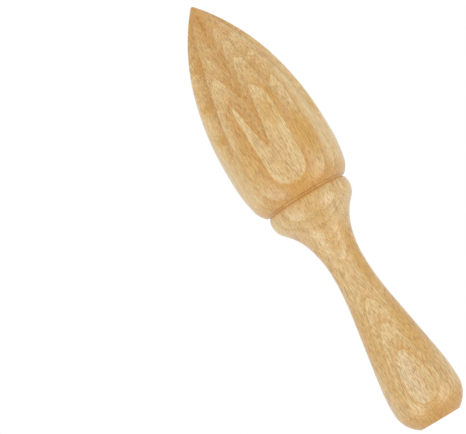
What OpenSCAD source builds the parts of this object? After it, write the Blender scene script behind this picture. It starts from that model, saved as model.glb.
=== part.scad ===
// Wooden citrus reamer, turned from one billet of beech.
// It stands on the flat of its butt: the origin is the middle of that flat and +Z runs up to the tip.
// Heights in the handle are measured from the butt, those in the neck and collar from the waist or
// the groove, and those in the head from the groove or the tip.

/* [Handle] */
// Height of the waist above the butt
handle_len = 60.8; // [57:0.1:70]
// Widest diameter of the handle
handle_d = 25.4; // [23:0.1:27]
// Height of the widest place of the handle
handle_wide_z = 9.3; // [7:0.1:10]
// Radius that rounds the butt below the widest place
butt_round_r = 10.9; // [10.2:0.1:12.5]
// Radius of the swell above the widest place
swell_r = 69.5; // [50:0.5:85]
// Radius of the hollow below the waist
handle_hollow_r = 94; // [60:1:105]

/* [Waist and neck] */
// Diameter of the waist
waist_d = 12.8; // [11.5:0.1:15]
// Height from the waist to the groove
neck_len = 27.4; // [25:0.1:32]
// Radius of the hollow above the waist
neck_hollow_r = 36.2; // [30:0.1:45]
// Height above the waist where the hollow tightens into the flare
flare_z = 12; // [9:0.1:15]

/* [Collar] */
// Diameter of the collar
collar_d = 30.6; // [28:0.1:33]
// Radius of the collar's rounded edge
collar_r = 6.6; // [5:0.1:8]
// Depth of the collar's widest place below the groove
collar_drop = 3; // [2.4:0.1:3.6]

/* [Groove] */
// Diameter at the floor of the groove
groove_d = 28.8; // [27.5:0.1:29.2]
// Radius of the groove's floor
groove_r = 0.6; // [0.4:0.05:0.9]

/* [Head] */
// Length of the head, from the groove to the tip
head_len = 76.8; // [72:0.1:84]
// Widest diameter of the head
head_d = 38.7; // [36:0.1:42]
// Height above the groove where the widest band starts
band_low_z = 16.1; // [14.5:0.1:18]
// Height above the groove where the widest band ends
band_high_z = 20.5; // [19.5:0.1:24]
// Radius of the shoulder below the band
shoulder_r = 48; // [40:0.1:70]
// Radius that rounds the shoulder into the groove
lip_r = 8.5; // [7:0.1:10]
// Height above the groove where the shoulder turns into that rounding
lip_z = 4.8; // [4.2:0.1:6]
// Radius of the flanks of the head
flank_r = 104; // [90:0.5:130]
// Length of the pointed nose, below the tip
nose_len = 29; // [24:0.1:32]
// Radius of the blunted tip
tip_r = 0.8; // [0.5:0.05:1.2]

/* [Flutes] */
// Number of flutes round the head
flute_count = 8; // [6:1:10]
// Direction of the first flute, seen from above
flute_turn = 341; // [0:1:360]
// Turn from one flute to the next, as a ratio to an even step, for all flutes except the last
flute_step_ratio = 1.05; // [1:0.01:1.08]
// How much shallower the last flute is, cut by hand into the narrower room that is left
last_flute_rise = 1.9; // [0:0.1:2.5]
// Angle between the two sides of a flute
flute_angle = 110; // [95:1:130]
// Height above the groove where the flutes run out
flute_low_z = 12.5; // [10:0.1:17]
// Depth below the tip where the flutes run out
flute_high_z = 1.5; // [1:0.1:2.5]
// Distance of the flute floors from the axis at that upper end
flute_core_r = 1.8; // [1:0.1:2.6]
// Radius of the arc that the flute floors follow
flute_arc_r = 250; // [200:5:500]

/* [Hidden] */
$fn = 96;
wood = [0.84, 0.71, 0.52];
waist_z = handle_len;
groove_z = waist_z + neck_len;
tip_z = groove_z + head_len;
// Square cuts of the profile reach past every radius
reach = head_d;
// A plain core that all stretches of the profile share, up into the tip
core_r = waist_d / 4;
core_shoulder = [core_r, tip_z - nose_len / 2];
core_tip = [tip_r / 4, tip_z - tip_r / 10];
// Height of the flute cutter's section, and how far it runs on past both ends of a flute, in degrees
cutter_h = 15;
cutter_over = 3;

function unit(v) = v / norm(v);
function square_of(v) = v * v;

// Centres of the turned arcs, each as [distance from the axis, height]
butt_c = [handle_d / 2 - butt_round_r, handle_wide_z];
swell_c = [handle_d / 2 - swell_r, handle_wide_z];
hollow_c = [waist_d / 2 + handle_hollow_r, waist_z];
neck_c = [waist_d / 2 + neck_hollow_r, waist_z];
collar_c = [collar_d / 2 - collar_r, groove_z - collar_drop];
shoulder_c = [head_d / 2 - shoulder_r, groove_z + band_low_z];
flank_c = [head_d / 2 - flank_r, groove_z + band_high_z];

// The straight taper of the handle touches the swell and the hollow: direction of its normal
taper_run = hollow_c - swell_c;
taper_a = atan2(taper_run[1], taper_run[0]) - acos((swell_r + handle_hollow_r) / norm(taper_run));
taper_n = [cos(taper_a), sin(taper_a)];
taper_low = swell_c + swell_r * taper_n;
taper_high = hollow_c - handle_hollow_r * taper_n;

// The flare leaves the neck's hollow at flare_z and touches the collar's rounded edge
flare_a = asin(flare_z / neck_hollow_r);
flare_n = [cos(flare_a), -sin(flare_a)];
flare_low = neck_c - neck_hollow_r * flare_n;
flare_gap = flare_low - collar_c;
flare_r = (square_of(flare_gap) - collar_r * collar_r) / (2 * (collar_r - flare_n * flare_gap));
flare_c = flare_low + flare_r * flare_n;
flare_high = collar_c + collar_r * unit(flare_c - collar_c);

// The lip leaves the shoulder at lip_z
lip_a = asin((lip_z - band_low_z) / shoulder_r);
lip_n = [cos(lip_a), sin(lip_a)];
lip_high = shoulder_c + shoulder_r * lip_n;
lip_c = lip_high - lip_r * lip_n;

// The nose leaves the flank nose_len below the tip and touches the blunted tip
tip_c = [0, tip_z - tip_r];
nose_a = asin((tip_z - nose_len - flank_c[1]) / flank_r);
nose_n = [cos(nose_a), sin(nose_a)];
nose_low = flank_c + flank_r * nose_n;
nose_gap = nose_low - tip_c;
nose_r = (square_of(nose_gap) - tip_r * tip_r) / (2 * (nose_n * nose_gap - tip_r));
nose_c = nose_low - nose_r * nose_n;
nose_high = tip_c + tip_r * unit(tip_c - nose_c);

// The arc of a flute's floor runs through its two ends, with its centre across the axis
floor_low = [head_d / 2, groove_z + flute_low_z];
floor_high = [flute_core_r, tip_z - flute_high_z];
floor_half = (floor_high - floor_low) / 2;
floor_out = unit([-floor_half[1], floor_half[0]]);
floor_c = floor_low + floor_half
        + floor_out * sqrt(flute_arc_r * flute_arc_r - square_of(floor_half));
cutter_low_a = atan2(floor_low[1] - floor_c[1], floor_low[0] - floor_c[0]) - cutter_over;
cutter_high_a = atan2(floor_high[1] - floor_c[1], floor_high[0] - floor_c[0]) + cutter_over;

// Each flute's turn from the first, with the last one midway in the room that the others leave, and
// its rise
last_flute = flute_count - 1;
flute_step = flute_step_ratio * 360 / flute_count;
last_turn = ((last_flute - 1) * flute_step + 360) / 2;
function turn_of(i) = i < last_flute ? i * flute_step : last_turn;
function rise_of(i) = i < last_flute ? 0 : last_flute_rise;

// A stretch of the profile between two heights, swelling out on the circle round c
module swell(z0, z1, c, r) {
    translate([0, z0]) square([max(c[0], 0.01), z1 - z0]);
    intersection() {
        translate([0, z0]) square([reach, z1 - z0]);
        translate(c) circle(r);
    }
}

// A stretch of the profile between two heights, hollowed by the circle round c
module hollow(z0, z1, c, r) {
    difference() {
        translate([0, z0]) square([c[0], z1 - z0]);
        translate(c) circle(r);
    }
}

// A straight stretch of the profile between two points
module taper(low, high) {
    polygon([[0, low[1]], low, high, [0, high[1]]]);
}

module handle_profile() {
    swell(0, handle_wide_z, butt_c, butt_round_r);
    swell(handle_wide_z, taper_low[1], swell_c, swell_r);
    taper(taper_low, taper_high);
    hollow(taper_high[1], waist_z, hollow_c, handle_hollow_r);
}

module neck_profile() {
    hollow(waist_z, flare_low[1], neck_c, neck_hollow_r);
    hollow(flare_low[1], flare_high[1], flare_c, flare_r);
    swell(flare_high[1], groove_z, collar_c, collar_r);
}

module head_profile() {
    swell(groove_z, lip_high[1], lip_c, lip_r);
    swell(lip_high[1], shoulder_c[1], shoulder_c, shoulder_r);
    taper([head_d / 2, shoulder_c[1]], [head_d / 2, flank_c[1]]);
    swell(flank_c[1], nose_low[1], flank_c, flank_r);
    swell(nose_low[1], nose_high[1], nose_c, nose_r);
    swell(nose_high[1], tip_z, tip_c, tip_r);
}

// What the lathe leaves: half of the outline, turned once round the axis
module turned_body() {
    rotate_extrude() difference() {
        union() {
            handle_profile();
            neck_profile();
            head_profile();
            polygon([[0, 0], [core_r, 0], core_shoulder, core_tip, [0, core_tip[1]]]);
        }
        translate([groove_d / 2 + groove_r, groove_z]) circle(groove_r);
    }
}

// A V section swept along the arc of a flute's floor, in the plane of +X
module flute_cutter() {
    half_w = cutter_h * tan(flute_angle / 2);
    translate([floor_c[0], 0, floor_c[1]])
        rotate([90, 0, 0])
        rotate([0, 0, cutter_low_a])
        rotate_extrude(angle = cutter_high_a - cutter_low_a)
        polygon([
            [flute_arc_r, 0],
            [flute_arc_r + cutter_h, half_w],
            [flute_arc_r + cutter_h, -half_w]
        ]);
}

// The body with the flutes from the first up to the given one cut into it
module fluted_body(i) {
    difference() {
        if (i == 0) turned_body(); else fluted_body(i - 1);
        rotate([0, 0, turn_of(i)]) translate([rise_of(i), 0, 0]) flute_cutter();
    }
}

module reamer() {
    color(wood) rotate([0, 0, flute_turn]) fluted_body(last_flute);
}

reamer();
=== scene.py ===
import math

import bpy
from mathutils import Matrix, Vector


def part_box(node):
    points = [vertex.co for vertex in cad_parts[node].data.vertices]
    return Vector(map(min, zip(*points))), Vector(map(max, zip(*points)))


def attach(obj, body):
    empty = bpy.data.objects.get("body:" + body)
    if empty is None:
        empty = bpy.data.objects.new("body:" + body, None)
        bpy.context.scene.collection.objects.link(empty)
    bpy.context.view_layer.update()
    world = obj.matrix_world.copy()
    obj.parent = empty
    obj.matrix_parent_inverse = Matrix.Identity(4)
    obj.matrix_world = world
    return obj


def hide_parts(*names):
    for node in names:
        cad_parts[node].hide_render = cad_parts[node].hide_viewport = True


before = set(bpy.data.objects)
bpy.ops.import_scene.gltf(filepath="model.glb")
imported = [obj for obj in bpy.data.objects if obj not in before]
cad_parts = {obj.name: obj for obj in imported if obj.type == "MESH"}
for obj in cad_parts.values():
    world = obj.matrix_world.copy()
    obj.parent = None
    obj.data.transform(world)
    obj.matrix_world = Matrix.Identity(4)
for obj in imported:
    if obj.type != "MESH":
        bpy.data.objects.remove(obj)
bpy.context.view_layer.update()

MM = 0.001
TURN = 2 * math.pi
WHITE = (1, 1, 1, 1)

# Sizes in millimetres, as in the part's source: the handle, from the butt up to the waist
HANDLE_LEN = 60.8
HANDLE_D = 25.4
HANDLE_WIDE_Z = 9.3
BUTT_ROUND_R = 10.9
SWELL_R = 69.5
HANDLE_HOLLOW_R = 94

# The neck and the collar, up to the groove
WAIST_D = 12.8
NECK_LEN = 27.4
NECK_HOLLOW_R = 36.2
FLARE_Z = 12
COLLAR_D = 30.6
COLLAR_R = 6.6
COLLAR_DROP = 3
GROOVE_D = 28.8
GROOVE_R = 0.6

# The head, from the groove to the tip
HEAD_LEN = 76.8
HEAD_D = 38.7
BAND_LOW_Z = 16.1
BAND_HIGH_Z = 20.5
SHOULDER_R = 48
LIP_R = 8.5
LIP_Z = 4.8
FLANK_R = 104
NOSE_LEN = 29
TIP_R = 0.8

# The flutes: the last is cut into the narrower room that is left, and is shallower
FLUTE_COUNT = 8
FLUTE_TURN = math.radians(341)
FLUTE_STEP_RATIO = 1.05
LAST_FLUTE_RISE = 1.9
FLUTE_ANGLE = math.radians(110)
FLUTE_LOW_Z = 12.5
FLUTE_HIGH_Z = 1.5
FLUTE_CORE_R = 1.8
FLUTE_ARC_R = 250

# What sanding leaves of the sharp edges; the floor of a flute is softened by an angle instead
BUTT_EDGE_R = 0.8
GROOVE_EASE = 0.12
RIDGE_SOFTNESS = 0.25
EDGE_SOFTNESS = 0.18
VALLEY_SOFTNESS = 0.02

# Fineness of the turned surface: columns round it, one of them in the floor of every flute, and
# the steps up its profile
COLUMNS = 320
LONG_STEP = 1.3
NECK_STEP = 0.9
HEAD_STEP = 0.55
ROUND_STEP = 0.35
EDGE_STEP = 0.16
TIP_STEP = 0.09
# Past this angle a flute's sides lie outside every surface
FAR_SWING = math.radians(50)
# Points nearer than this in metres are one, which closes the seam, the tip and the butt's middle
SEAM_REACH = 1e-7
# Whole numbers nearer than this are the same, whatever rounding has done to them
WHOLE_REACH = 0.5

WAIST_Z = HANDLE_LEN
GROOVE_Z = WAIST_Z + NECK_LEN
TIP_Z = GROOVE_Z + HEAD_LEN


def arc(centre, radius, low_z, high_z, step, side=1):
    """Points up an arc between two heights, without the last; side is -1 where it is hollow."""
    low_a, high_a = (math.asin(max(-1, min(1, (z - centre.y) / radius))) for z in (low_z, high_z))
    count = max(1, round(radius * (high_a - low_a) / step))
    angles = (low_a + (high_a - low_a) * i / count for i in range(count))
    return [centre + radius * Vector((side * math.cos(a), math.sin(a))) for a in angles]


def straight(low, high, step):
    """Points along a straight stretch of the profile, without the last."""
    count = max(1, round((high - low).length / step))
    return [low.lerp(high, i / count) for i in range(count)]


def crossings(centre_a, radius_a, centre_b, radius_b):
    """Where two circles cross: the lower point and the upper one."""
    across = centre_b - centre_a
    along = (across.length_squared + radius_a ** 2 - radius_b ** 2) / (2 * across.length)
    aside = math.sqrt(radius_a ** 2 - along ** 2)
    middle = centre_a + along * across.normalized()
    offset = aside * across.normalized().orthogonal()
    return sorted((middle + offset, middle - offset), key=lambda point: point.y)


def handle_profile():
    """Butt, handle and the hollow up to the waist."""
    butt = Vector((HANDLE_D / 2 - BUTT_ROUND_R, HANDLE_WIDE_Z))
    swell = Vector((HANDLE_D / 2 - SWELL_R, HANDLE_WIDE_Z))
    hollow = Vector((WAIST_D / 2 + HANDLE_HOLLOW_R, WAIST_Z))

    inner_r = BUTT_ROUND_R - BUTT_EDGE_R
    edge_x = butt.x + math.sqrt(inner_r ** 2 - (HANDLE_WIDE_Z - BUTT_EDGE_R) ** 2)
    edge = Vector((edge_x, BUTT_EDGE_R))
    edge_top = butt + BUTT_ROUND_R * (edge - butt).normalized()

    run = hollow - swell
    normal_a = math.atan2(run.y, run.x) - math.acos((SWELL_R + HANDLE_HOLLOW_R) / run.length)
    normal = Vector((math.cos(normal_a), math.sin(normal_a)))
    taper_low = swell + SWELL_R * normal
    taper_high = hollow - HANDLE_HOLLOW_R * normal
    return [
        *straight(Vector((0, 0)), Vector((edge.x, 0)), LONG_STEP),
        *arc(edge, BUTT_EDGE_R, 0, edge_top.y, EDGE_STEP),
        *arc(butt, BUTT_ROUND_R, edge_top.y, HANDLE_WIDE_Z, ROUND_STEP),
        *arc(swell, SWELL_R, HANDLE_WIDE_Z, taper_low.y, LONG_STEP),
        *straight(taper_low, taper_high, LONG_STEP),
        *arc(hollow, HANDLE_HOLLOW_R, taper_high.y, WAIST_Z, LONG_STEP, -1),
    ]


def neck_profile(groove):
    """Neck and collar, up to the lower edge of the groove."""
    neck = Vector((WAIST_D / 2 + NECK_HOLLOW_R, WAIST_Z))
    collar = Vector((COLLAR_D / 2 - COLLAR_R, GROOVE_Z - COLLAR_DROP))

    flare_a = math.asin(FLARE_Z / NECK_HOLLOW_R)
    normal = Vector((math.cos(flare_a), -math.sin(flare_a)))
    flare_low = neck - NECK_HOLLOW_R * normal
    gap = flare_low - collar
    flare_r = (gap.length_squared - COLLAR_R ** 2) / (2 * (COLLAR_R - normal.dot(gap)))
    flare = flare_low + flare_r * normal
    flare_high = collar + COLLAR_R * (flare - collar).normalized()

    groove_low = crossings(collar, COLLAR_R, groove, GROOVE_R)[0]
    return [
        *arc(neck, NECK_HOLLOW_R, WAIST_Z, flare_low.y, NECK_STEP, -1),
        *arc(flare, flare_r, flare_low.y, flare_high.y, NECK_STEP, -1),
        *arc(collar, COLLAR_R, flare_high.y, groove_low.y - GROOVE_EASE, ROUND_STEP),
        collar + COLLAR_R * (groove_low - Vector((0, GROOVE_EASE)) - collar).normalized(),
    ], groove_low


def head_profile(groove):
    """Head, from the upper edge of the groove to the tip."""
    shoulder = Vector((HEAD_D / 2 - SHOULDER_R, GROOVE_Z + BAND_LOW_Z))
    flank = Vector((HEAD_D / 2 - FLANK_R, GROOVE_Z + BAND_HIGH_Z))
    tip = Vector((0, TIP_Z - TIP_R))

    lip_a = math.asin((LIP_Z - BAND_LOW_Z) / SHOULDER_R)
    normal = Vector((math.cos(lip_a), math.sin(lip_a)))
    lip_high = shoulder + SHOULDER_R * normal
    lip = lip_high - LIP_R * normal

    nose_a = math.asin((TIP_Z - NOSE_LEN - flank.y) / FLANK_R)
    normal = Vector((math.cos(nose_a), math.sin(nose_a)))
    nose_low = flank + FLANK_R * normal
    gap = nose_low - tip
    nose_r = (gap.length_squared - TIP_R ** 2) / (2 * (normal.dot(gap) - TIP_R))
    nose = nose_low - nose_r * normal
    nose_high = tip + TIP_R * (tip - nose).normalized()

    groove_high = crossings(lip, LIP_R, groove, GROOVE_R)[1]
    band = [Vector((HEAD_D / 2, circle.y)) for circle in (shoulder, flank)]
    return groove_high, [
        *arc(lip, LIP_R, groove_high.y + GROOVE_EASE, lip_high.y, ROUND_STEP),
        *arc(shoulder, SHOULDER_R, lip_high.y, shoulder.y, HEAD_STEP),
        *straight(*band, HEAD_STEP),
        *arc(flank, FLANK_R, flank.y, nose_low.y, HEAD_STEP),
        *arc(nose, nose_r, nose_low.y, nose_high.y, HEAD_STEP),
        *arc(tip, TIP_R, nose_high.y, TIP_Z, TIP_STEP),
        Vector((0, TIP_Z)),
    ]


def groove_profile(groove, low, high):
    """Floor of the groove between its two edges, eased a little where it meets them."""
    low_a, high_a = (math.atan2(p.y - groove.y, p.x - groove.x) % TURN for p in (low, high))
    ease = GROOVE_EASE / GROOVE_R
    start, end = low_a - ease, high_a + ease
    count = round(GROOVE_R * (start - end) / EDGE_STEP)
    angles = (start + (end - start) * i / count for i in range(count + 1))
    return [groove + GROOVE_R * Vector((math.cos(a), math.sin(a))) for a in angles]


def turned_profile():
    """The half outline that the lathe leaves, from the butt's middle to the tip, as edges."""
    groove = Vector((GROOVE_D / 2 + GROOVE_R, GROOVE_Z))
    neck, groove_low = neck_profile(groove)
    groove_high, head = head_profile(groove)
    points = [*handle_profile(), *neck, *groove_profile(groove, groove_low, groove_high), *head]
    line = bpy.data.meshes.new("turned_profile")
    corners = [(point.x * MM, 0, point.y * MM) for point in points]
    line.from_pydata(corners, [(i, i + 1) for i in range(len(points) - 1)], [])
    return line


class Wire:
    """A socket of a node. Arithmetic on it adds Math nodes to its tree."""

    def __init__(self, make, socket):
        self.make, self.socket = make, socket

    def math(self, operation, *others):
        values = dict(enumerate((self, *others)))
        return self.make.number("ShaderNodeMath", {"operation": operation}, values)

    def __add__(self, other):
        return self.math("ADD", other)

    def __sub__(self, other):
        return self.math("SUBTRACT", other)

    def __mul__(self, other):
        return self.math("MULTIPLY", other)

    def __truediv__(self, other):
        return self.math("DIVIDE", other)

    def __rsub__(self, other):
        return self.math("MULTIPLY", -1) + other

    __radd__ = __add__
    __rmul__ = __mul__


class Maker:
    """Adds nodes to one tree, links them and sets their values."""

    def __init__(self, tree):
        self.tree = tree
        tree.nodes.clear()

    def add(self, kind, settings=None, sockets=None):
        """A node with its settings, and then with its sockets linked or set, by name or number."""
        node = self.tree.nodes.new(kind)
        for name, value in (settings or {}).items():
            if name == "stops":
                self.set_stops(node.color_ramp, value)
            else:
                setattr(node, name, value)
        for name, value in (sockets or {}).items():
            source = value.socket if isinstance(value, Wire) else value
            if isinstance(source, bpy.types.NodeSocket):
                self.tree.links.new(source, node.inputs[name])
            else:
                node.inputs[name].default_value = source
        return node

    @staticmethod
    def set_stops(ramp, stops):
        """Gives a ramp its stops, each a place and a grey."""
        for place, grey in stops[len(ramp.elements):]:
            ramp.elements.new(place)
        for element, (place, grey) in zip(ramp.elements, stops):
            element.position, element.color = place, (grey, grey, grey, 1)

    def number(self, kind, settings=None, sockets=None, output=0):
        return Wire(self, self.add(kind, settings, sockets).outputs[output])

    def vector(self, operation, *values):
        node = self.add("ShaderNodeVectorMath", {"operation": operation}, dict(enumerate(values)))
        return node.outputs[0]

    def parts(self, vector):
        """The X, Y and Z of a vector."""
        node = self.add("ShaderNodeSeparateXYZ", {}, {0: vector})
        return [Wire(self, socket) for socket in node.outputs]

    def blend(self, share, a, b, mode="MIX"):
        """Colour a, going over to b as the share rises."""
        settings = {"data_type": "RGBA", "blend_type": mode}
        return self.add("ShaderNodeMix", settings, {0: share, 6: a, 7: b}).outputs[2]

    def rise(self, value, low, high):
        """A number that rises smoothly from 0 to 1 as the value passes from low to high."""
        settings = {"interpolation_type": "SMOOTHSTEP"}
        return self.number("ShaderNodeMapRange", settings, {0: value, 1: low, 2: high})

    def ramp(self, value, stops):
        node = self.add("ShaderNodeValToRGB", {"stops": stops}, {0: value})
        return Wire(self, node.outputs[0])

    def noise(self, place, size, detail=2.0):
        """Noise from 0 to 1 whose lumps have the given size along X, Y and Z."""
        scaled = self.vector("MULTIPLY", place, tuple(1 / length for length in size))
        sockets = {"Vector": scaled, "Scale": 1.0, "Detail": detail}
        return self.number("ShaderNodeTexNoise", {}, sockets, "Fac")

    def inputs(self, kinds):
        """Sockets of a group, by name, as wires."""
        for name, kind in kinds.items():
            self.tree.interface.new_socket(name, in_out="INPUT", socket_type=kind)
        outputs = self.add("NodeGroupInput").outputs
        return [Wire(self, outputs[name]) for name in kinds]


def turning_tree():
    """Geometry Nodes that turn a profile round Z and cut each flute, a V swept along an arc."""
    tree = bpy.data.node_groups.new("turned_and_fluted", "GeometryNodeTree")
    make = Maker(tree)
    (
        profile, columns, flutes, first, step, rise, side,
        arc_r, arc_x, arc_z, ridge, edge, valley, finish,
    ) = make.inputs({
        "Profile": "NodeSocketGeometry",
        "Columns": "NodeSocketInt",
        "Flutes": "NodeSocketInt",
        "First flute": "NodeSocketFloat",
        "Flute step": "NodeSocketFloat",
        "Last flute rise": "NodeSocketFloat",
        "Side slope": "NodeSocketFloat",
        "Floor radius": "NodeSocketFloat",
        "Floor centre out": "NodeSocketFloat",
        "Floor centre up": "NodeSocketFloat",
        "Ridge softness": "NodeSocketFloat",
        "Edge softness": "NodeSocketFloat",
        "Valley softness": "NodeSocketFloat",
        "Finish": "NodeSocketMaterial",
    })
    tree.interface.new_socket("Mesh", in_out="OUTPUT", socket_type="NodeSocketGeometry")

    # A grid with a row for each point of the profile, whose first and last columns meet
    counted = ("GeometryNodeAttributeDomainSize", {"component": "MESH"}, {"Geometry": profile})
    rows = make.number(*counted, "Point Count")
    grid = make.add("GeometryNodeMeshGrid", {}, {"Vertices X": rows, "Vertices Y": columns + 1})
    index = make.number("GeometryNodeInputIndex")
    row = ((index + WHOLE_REACH) / (columns + 1)).math("FLOOR")
    column = (index - row * (columns + 1)).math("FLOORED_MODULO", columns)
    direction = column * TURN / columns + first
    place = make.add("GeometryNodeInputPosition").outputs[0]
    sampled = make.add(
        "GeometryNodeSampleIndex",
        {"data_type": "FLOAT_VECTOR", "domain": "POINT"},
        {"Geometry": profile, "Value": place, "Index": row},
    )
    turned_r, _, height = make.parts(sampled.outputs[0])

    # Each flute in turn takes the least radius that is left
    start = make.add("GeometryNodeRepeatInput")
    end = make.add("GeometryNodeRepeatOutput")
    end.repeat_items.clear()
    end.repeat_items.new("FLOAT", "Cut")
    start.pair_with_output(end)
    tree.links.new(flutes.socket, start.inputs["Iterations"])
    start.inputs["Cut"].default_value = HEAD_D * MM
    flute = Wire(make, start.outputs["Iteration"])
    last = flute.math("COMPARE", flutes - 1, WHOLE_REACH)
    last_turn = ((flutes - 2) * step + TURN) / 2
    middle = first + (1 - last) * flute * step + last * last_turn
    swing = (direction - middle).math("WRAP", math.pi, -math.pi).math("ABSOLUTE")
    swing = swing.math("MINIMUM", FAR_SWING)
    cosine, sine = swing.math("COSINE"), swing.math("SINE")
    slope = (sine * sine + valley * valley).math("SQRT") * side
    centre_x = arc_x + last * rise
    up = height - arc_z
    squared = cosine * cosine - slope * slope
    half = centre_x * cosine + arc_r * slope
    constant = centre_x * centre_x + up * up - arc_r * arc_r
    cut = (half + (half * half - squared * constant).math("SQRT")) / squared
    least = Wire(make, start.outputs["Cut"]).math("SMOOTH_MIN", cut, ridge)
    tree.links.new(least.socket, end.inputs["Cut"])

    # The grid takes its shape, and its seam and poles close
    radius = turned_r.math("SMOOTH_MIN", Wire(make, end.outputs["Cut"]), edge).math("MAXIMUM", 0)
    along_x, along_y = (radius * direction.math(name) for name in ("COSINE", "SINE"))
    spot = make.add("ShaderNodeCombineXYZ", {}, {0: along_x, 1: along_y, 2: height}).outputs[0]
    shaped = make.add("GeometryNodeSetPosition", {}, {0: grid.outputs[0], "Position": spot})
    merged = {0: shaped.outputs[0], "Distance": SEAM_REACH}
    closed = make.add("GeometryNodeMergeByDistance", {}, merged)
    outward = make.add("GeometryNodeFlipFaces", {}, {0: closed.outputs[0]})
    smooth = make.add("GeometryNodeSetShadeSmooth", {}, {0: outward.outputs[0]})
    real = make.add("GeometryNodeRealizeInstances", {}, {0: smooth.outputs[0]})
    finished = make.add("GeometryNodeSetMaterial", {}, {0: real.outputs[0], "Material": finish})
    make.add("NodeGroupOutput", {}, {"Mesh": finished.outputs[0]})
    return tree


def made_by(tree, base, name, values):
    """The plain mesh that a Geometry Nodes tree makes of a base mesh, as a new object."""
    maker = bpy.data.objects.new(name + "_base", base)
    bpy.context.scene.collection.objects.link(maker)
    modifier = maker.modifiers.new(name, "NODES")
    modifier.node_group = tree
    for item in tree.interface.items_tree:
        if item.item_type == "SOCKET" and item.name in values:
            modifier[item.identifier] = values[item.name]
    evaluated = maker.evaluated_get(bpy.context.evaluated_depsgraph_get())
    mesh = bpy.data.meshes.new_from_object(evaluated)
    mesh.name = name
    bpy.data.objects.remove(maker)
    piece = bpy.data.objects.new(name, mesh)
    bpy.context.scene.collection.objects.link(piece)
    return piece


def flute_floor_centre():
    """Centre of the arc that a flute's floor follows, out from the axis and up."""
    low = Vector((HEAD_D / 2, GROOVE_Z + FLUTE_LOW_Z))
    high = Vector((FLUTE_CORE_R, TIP_Z - FLUTE_HIGH_Z))
    half = (high - low) / 2
    out = Vector((-half.y, half.x)).normalized()
    return low + half + out * math.sqrt(FLUTE_ARC_R ** 2 - half.length_squared)


def turned_reamer(finish):
    """The whole reamer in one piece, as the lathe and the gouge leave it."""
    centre = flute_floor_centre()
    return made_by(turning_tree(), turned_profile(), "turned_reamer", {
        "Columns": COLUMNS,
        "Flutes": FLUTE_COUNT,
        "First flute": FLUTE_TURN,
        "Flute step": FLUTE_STEP_RATIO * TURN / FLUTE_COUNT,
        "Last flute rise": LAST_FLUTE_RISE * MM,
        "Side slope": 1 / math.tan(FLUTE_ANGLE / 2),
        "Floor radius": FLUTE_ARC_R * MM,
        "Floor centre out": centre.x * MM,
        "Floor centre up": centre.y * MM,
        "Ridge softness": RIDGE_SOFTNESS * MM,
        "Edge softness": EDGE_SOFTNESS * MM,
        "Valley softness": VALLEY_SOFTNESS,
        "Finish": finish,
    })


def linear(red, green, blue):
    """A colour as a screen shows it, from 0 to 255, in linear light by the sRGB curve."""
    shares = [c / 255 for c in (red, green, blue)]
    return (*(c / 12.92 if c <= 0.04045 else ((c + 0.055) / 1.055) ** 2.4 for c in shares), 1)


# Growth rings: the heart of the tree lies behind the reamer and the bark side faces forward. The
# outer ring lies this far in front of the axis at the level height, and the rings come further
# forward the lower they are, by a slope and, below the level height, a bend.
HEART_BACK = 46
OUTER_RING = 17.8
WIDE_GAP = 2.7
WIDE_RINGS = 4
NARROW_GAP = 1
RING_LEVEL_Z = 100
RING_SLOPE = 0.026
RING_BEND = 0.00035
RING_WOBBLE = 0.25
WOBBLE_LUMPS = (9, 9, 26)
# How far the rings swell forward in the head, and the heights over which that comes and goes
RING_SWELL = 1
SWELL_COMES = (93, 105)
SWELL_GOES = (128, 113)
# Place across a ring and share of late wood there
LATE_SHARES = [(0, 0), (0.15, 0.15), (0.5, 0.48), (0.8, 0.8), (0.96, 1), (1, 0)]

# The rings' strength varies in soft lumps
STRENGTH_LEAST = 0.85
STRENGTH_RANGE = 0.3
STRENGTH_LUMPS = (7, 7, 22)
STRENGTH_LIMITS = (0.3, 0.7)
# Shares of it that are lost: on the sides, where the rings crowd, in the nose, and in the neck
SIDE_LOSS = 0.6
SIDE_X = (10, 17)
CROWD_LOSS = 0.4
NOSE_LOSS = 0.4
NOSE_COMES = (122, 134)
NECK_LOSS = 0.45
NECK_COMES = (40, 50)
NECK_GOES = (91, 87)

EARLY_WOOD = linear(224, 195, 140)
LATE_WOOD = linear(204, 151, 76)
WARM_WOOD = linear(206, 156, 70)
PALE_WOOD = linear(222, 197, 160)
FLECK_WOOD = linear(164, 108, 48)
# The end grain's tone, also used as painted shade at the butt and in the groove
END_GRAIN_AND_SHADE_WOOD = linear(206, 149, 64)

# A warmer tone in soft clouds, and patches of a warmer and a paler tone on the front. A patch has
# its middle across and up, half its width and height, and its share.
CLOUD_LUMPS = (5, 5, 11)
CLOUD_DETAIL = 3
CLOUD_LIMITS = (0.47, 0.7)
CLOUD_SHARE = 0.35
# A patch's edge wavers by so many times the rings' wobble, and fades between these depths
PATCH_WOBBLE = 4
PATCH_FRONT = (5, -4)
PALE_PATCHES = [
    (-1, 17, 4.5, 12, 0.45),
]
WARM_PATCHES = [
    (-11, 106, 3.6, 13, 0.5),
    (11, 106, 3.8, 13, 0.85),
    (-1, 108, 8, 26, 0.15),
    (4, 118, 4, 8, 0.55),
    (-8, 144, 3.5, 6, 0.7),
    (-12.5, 130, 4.5, 3.8, 0.6),
    (-14.5, 118.5, 3.5, 3, 0.6),
    (7.5, 135, 3, 4.5, 0.5),
    (8, 124, 2.5, 5.5, 0.5),
    (1.5, 91, 10, 5, 0.7),
    (0, 80, 6, 7, 0.45),
    (0, 71, 3, 6, 0.4),
    (5, 62, 3.6, 18, 0.75),
    (8.5, 36, 6, 24, 0.75),
    (-8, 36, 4.5, 22, 0.5),
]

# Painted shade in the flutes' valleys, in the late wood's colour: its share, and the depths and
# heights over which it comes
VALLEY_SHADE_SHARE = 0.5
VALLEY_SHADE_DEPTHS = (0.6, 3.6)
VALLEY_SHADE_COMES = (92, 98)
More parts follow.
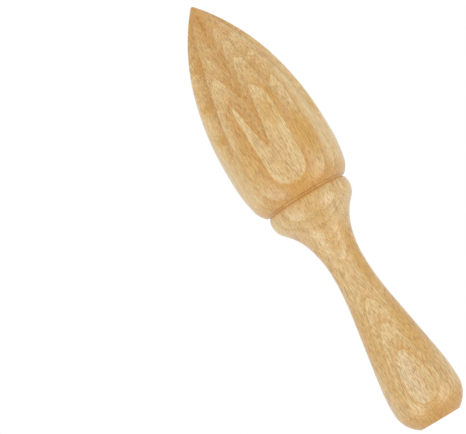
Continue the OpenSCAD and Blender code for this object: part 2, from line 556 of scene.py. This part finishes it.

# Height and share of the end grain's tone, which at the butt and round the groove also paints the
# shade on the butt's underside and in the groove: at the butt, round the groove and at the tip
END_GRAIN_AND_SHADE_SHARE = 0.85
END_GRAIN_AND_SHADE = [
    (0, 1), (4, 0.75), (8.5, 0),
    (86, 0), (87.4, 0.6), (88.6, 0.8), (91, 0.6), (94, 0),
    (148, 0), (159, 0.75), (165, 1),
]

# Fibres run up the wood, and the rays make short dark flecks that are broad on the sides
FINE_DETAIL = 1
SHORT_FIBRES = (0.24, 0.24, 2.2)
SHORT_SHARE = 0.55
LONG_FIBRES = (0.3, 0.3, 10)
FLECK_LUMPS = (0.34, 7, 2.2)
FLECK_LIMITS = (0.53, 0.61)
FLECK_SHARE = 0.42
FLECK_SIDE_LOSS = 0.75
# The fibres' tone, and how much of it red, green and blue take
TONE_LIMITS = (0.32, 0.68)
TONE_RANGE = 0.32
TONE_LEAST = -0.12
TONE_COLOURS = (1, 1.2, 1.7)

# The thin oil finish over them
ROUGH_LEAST = 0.32
ROUGH_RANGE = 0.1
BUMP_DEPTH = 0.08
BUMP_STRENGTH = 0.35
SHEEN = 0.15
SHEEN_ROUGHNESS = 0.5


def ringed(make, place, wobble):
    """Early and late wood in rings: wide ones towards the bark, and narrow ones further in."""
    x, y, z = make.parts(place)
    below = RING_LEVEL_Z - z
    swell = make.rise(z, *SWELL_COMES) * make.rise(z, *SWELL_GOES) * RING_SWELL
    drift = below * (below.math("MAXIMUM", 0) * RING_BEND + RING_SLOPE) + swell
    forward = HEART_BACK - y
    depth = (x * x + forward * forward).math("SQRT") - HEART_BACK - drift
    inside = depth + wobble - OUTER_RING
    narrow_from = -WIDE_GAP * WIDE_RINGS
    wide = inside.math("MAXIMUM", narrow_from) / WIDE_GAP
    narrow = (inside - narrow_from).math("MINIMUM", 0) / NARROW_GAP
    late = make.ramp((wide + narrow).math("FRACT"), LATE_SHARES)

    lumps = make.rise(make.noise(place, STRENGTH_LUMPS), *STRENGTH_LIMITS)
    crowded = make.rise(inside, narrow_from + NARROW_GAP, narrow_from - NARROW_GAP)
    faint = (crowded * CROWD_LOSS).math("MAXIMUM", make.rise(z, *NOSE_COMES) * NOSE_LOSS)
    neck = make.rise(z, *NECK_COMES) * make.rise(z, *NECK_GOES)
    faint = faint.math("MAXIMUM", neck * NECK_LOSS)
    kept = (1 - side_on(make, x) * SIDE_LOSS) * (1 - faint)
    strength = (lumps * STRENGTH_RANGE + STRENGTH_LEAST) * kept
    return make.blend((late * strength).math("MINIMUM", 1), EARLY_WOOD, LATE_WOOD)


def side_on(make, x):
    """1 on the left and right, which cut square across the rings, and 0 in front and behind."""
    return make.rise(x.math("ABSOLUTE"), *SIDE_X)


def patched(make, place, wobble, shares, patches):
    """The shares with oval patches added to them on the front, whose edges waver."""
    x, y, z = make.parts(place)
    uneven = x + wobble * PATCH_WOBBLE
    front = make.rise(y, *PATCH_FRONT)
    for across, up, half_w, half_h, share in patches:
        aside, above = (uneven - across) / half_w, (z - up) / half_h
        patch = make.rise(aside * aside + above * above, 1, 0) * front * share
        shares = patch.math("MAXIMUM", shares)
    return shares


def valley_shade(make, place):
    """Share of painted shade in the flutes' valleys, in the late wood's colour, by their depth
    below the turned flank.
    """
    x, y, z = make.parts(place)
    flank_x, flank_z = HEAD_D / 2 - FLANK_R, GROOVE_Z + BAND_HIGH_Z
    turned_r = (FLANK_R ** 2 - (z - flank_z) * (z - flank_z)).math("SQRT") + flank_x
    depth = turned_r - (x * x + y * y).math("SQRT")
    return make.rise(depth, *VALLEY_SHADE_DEPTHS) * make.rise(z, *VALLEY_SHADE_COMES) * VALLEY_SHADE_SHARE


def beech():
    """Sanded beech with a thin oil finish, with painted shade in the flutes' valleys, in the groove
    and on the butt's underside.
    """
    material = bpy.data.materials.new("beech")
    material.use_nodes = True
    make = Maker(material.node_tree)
    position = make.add("ShaderNodeTexCoord").outputs["Object"]
    place = make.vector("MULTIPLY", position, (1 / MM, 1 / MM, 1 / MM))
    x, _, z = make.parts(place)
    wobble = (make.noise(place, WOBBLE_LUMPS) - 0.5) * (2 * RING_WOBBLE)

    clouds = make.rise(make.noise(place, CLOUD_LUMPS, CLOUD_DETAIL), *CLOUD_LIMITS) * CLOUD_SHARE
    wood = ringed(make, place, wobble)
    wood = make.blend(patched(make, place, wobble, clouds, WARM_PATCHES), wood, WARM_WOOD)
    wood = make.blend(patched(make, place, wobble, 0, PALE_PATCHES), wood, PALE_WOOD)
    # Painted shade in the flutes' valleys, darker where they are cut deeper
    wood = make.blend(valley_shade(make, place), wood, LATE_WOOD)

    # End grain's tone, partly real end grain and partly painted shade on the butt's underside and
    # in the groove
    top = END_GRAIN_AND_SHADE[-1][0]
    end_grain_and_shade = make.ramp(z / top, [(height / top, share) for height, share in END_GRAIN_AND_SHADE])
    wood = make.blend(end_grain_and_shade * END_GRAIN_AND_SHADE_SHARE, wood, END_GRAIN_AND_SHADE_WOOD)

    rays = make.rise(make.noise(place, FLECK_LUMPS, FINE_DETAIL), *FLECK_LIMITS)
    flecks = rays * (1 - side_on(make, x) * FLECK_SIDE_LOSS)
    wood = make.blend(flecks * FLECK_SHARE, wood, FLECK_WOOD)

    short = make.noise(place, SHORT_FIBRES, FINE_DETAIL)
    long = make.noise(place, LONG_FIBRES, FINE_DETAIL)
    fibres = short * SHORT_SHARE + long * (1 - SHORT_SHARE)
    tone = make.rise(fibres, *TONE_LIMITS) * TONE_RANGE + TONE_LEAST
    channels = {i: tone * share + 1 for i, share in enumerate(TONE_COLOURS)}
    shade = make.add("ShaderNodeCombineColor", {}, channels).outputs[0]
    wood = make.blend(1, wood, shade, "MULTIPLY")

    bump = make.add("ShaderNodeBump", {}, {
        "Strength": BUMP_STRENGTH,
        "Distance": BUMP_DEPTH * MM,
        "Height": (fibres + 1 - flecks) / 2,
    })
    surface = make.add("ShaderNodeBsdfPrincipled", {}, {
        "Base Color": wood,
        "Roughness": fibres * ROUGH_RANGE + ROUGH_LEAST,
        "Normal": bump.outputs[0],
        "Sheen Weight": SHEEN,
        "Sheen Roughness": SHEEN_ROUGHNESS,
    })
    make.add("ShaderNodeOutputMaterial", {}, {"Surface": surface.outputs[0]})
    return material


# The view: from the front and a little below, rolled so that the tip is at the upper left, with the
# place of the object's middle in the frame, in pixels from its upper left corner
PHOTO_WIDTH = 466
PHOTO_HEIGHT = 434
SENSOR = 36
CAMERA_DISTANCE = 900 * MM
CAMERA_ELEVATION = math.radians(-4.7)
CAMERA_ROLL = math.radians(31.13)
MM_PER_PIXEL = 0.342
MIDDLE_X = 314.9
MIDDLE_Y = 211.4


def camera_on(middle):
    """The camera that sees the object's middle at its place in the frame."""
    focal_px = CAMERA_DISTANCE / (MM_PER_PIXEL * MM)
    data = bpy.data.cameras.new("camera")
    data.sensor_width = SENSOR
    data.lens = focal_px * SENSOR / PHOTO_WIDTH
    camera = bpy.data.objects.new("camera", data)
    bpy.context.scene.collection.objects.link(camera)
    bpy.context.scene.camera = camera

    back = Vector((0, -math.cos(CAMERA_ELEVATION), math.sin(CAMERA_ELEVATION)))
    level = Vector((1, 0, 0))
    upright = back.cross(level)
    right = level * math.cos(CAMERA_ROLL) - upright * math.sin(CAMERA_ROLL)
    axes = Matrix((right, back.cross(right), back)).transposed()
    towards = Vector((MIDDLE_X - PHOTO_WIDTH / 2, PHOTO_HEIGHT / 2 - MIDDLE_Y, -focal_px))
    aim = Vector((0, 0, -1)).rotation_difference(towards)
    turned = axes @ aim.to_matrix().inverted()
    camera.matrix_world = Matrix.Translation(middle + back * CAMERA_DISTANCE) @ turned.to_4x4()


# How far the lamps stand from the object's middle, in metres like their widths and heights
LAMP_DISTANCE = 0.9


def soft_box(name, middle, azimuth, elevation, share, width, height, gloss_only=False):
    """A lamp that faces the object and gives it a share of its plain light, or only a gloss."""
    data = bpy.data.lights.new(name, "AREA")
    data.shape = "RECTANGLE"
    data.size, data.size_y = width, height
    data.energy = share * (math.pi * LAMP_DISTANCE) ** 2
    lamp = bpy.data.objects.new(name, data)
    bpy.context.scene.collection.objects.link(lamp)
    lamp.visible_diffuse = not gloss_only
    a, e = math.radians(azimuth), math.radians(elevation)
    away = Vector((math.sin(a) * math.cos(e), -math.cos(a) * math.cos(e), math.sin(e)))
    lamp.location = middle + away * LAMP_DISTANCE
    lamp.rotation_euler = away.to_track_quat("Z", "Y").to_euler()


# The world's light on the object, where 1 is the white that the camera sees
WORLD_FILL = 0.84


def seen_directly(make):
    """1 for the rays that show a background: from the camera, in a gloss or through glass."""
    path = make.add("ShaderNodeLightPath")
    names = ("Is Camera Ray", "Is Glossy Ray", "Is Transmission Ray")
    camera, glossy, through = (Wire(make, path.outputs[name]) for name in names)
    return camera.math("MAXIMUM", glossy).math("MAXIMUM", through)


def white_world():
    """A white background, and an even light from all sides."""
    world = bpy.data.worlds.new("studio")
    bpy.context.scene.world = world
    world.use_nodes = True
    make = Maker(world.node_tree)
    strength = seen_directly(make) * (1 - WORLD_FILL) + WORLD_FILL
    background = make.add("ShaderNodeBackground", {}, {"Color": WHITE, "Strength": strength})
    make.add("ShaderNodeOutputWorld", {}, {"Surface": background.outputs[0]})


# The floor: half its side in metres, its depth under the butt, the share of its own glow that
# keeps it white, and how bright that is
FLOOR_HALF = 6
FLOOR_DROP = 0.05 * MM
FLOOR_GLOW = 0.75
FLOOR_BRIGHTNESS = 1.15


def pale_floor():
    """A white floor that keeps the object's shadow and blocks no light."""
    material = bpy.data.materials.new("floor")
    material.use_nodes = True
    make = Maker(material.node_tree)
    matt = make.add("ShaderNodeBsdfDiffuse", {}, {"Color": WHITE})
    glow = make.add("ShaderNodeEmission", {}, {"Color": WHITE, "Strength": FLOOR_BRIGHTNESS})
    share = seen_directly(make) * FLOOR_GLOW
    mixed = make.add("ShaderNodeMixShader", {}, {0: share, 1: matt.outputs[0], 2: glow.outputs[0]})
    make.add("ShaderNodeOutputMaterial", {}, {"Surface": mixed.outputs[0]})

    mesh = bpy.data.meshes.new("floor")
    ends = ((-1, -1), (1, -1), (1, 1), (-1, 1))
    corners = [(x * FLOOR_HALF, y * FLOOR_HALF, -FLOOR_DROP) for x, y in ends]
    mesh.from_pydata(corners, [], [(0, 1, 2, 3)])
    mesh.materials.append(material)
    floor = bpy.data.objects.new("floor", mesh)
    bpy.context.scene.collection.objects.link(floor)
    floor.visible_shadow = floor.visible_diffuse = floor.visible_glossy = False


bpy.context.scene.view_settings.view_transform = "Standard"
low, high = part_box("reamer")
middle = (low + high) / 2
camera_on(middle)
white_world()
pale_floor()
soft_box("front_box", middle, azimuth=0, elevation=-5, share=0.18, width=0.9, height=0.9)
soft_box(
    "low_left_box", middle, azimuth=-52, elevation=-32, share=0.4, width=0.36, height=0.6,
    gloss_only=True,
)
soft_box(
    "low_right_box", middle, azimuth=50, elevation=-32, share=0.36, width=0.36, height=0.6,
    gloss_only=True,
)

reamer = turned_reamer(beech())
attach(reamer, "root")
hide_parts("reamer")
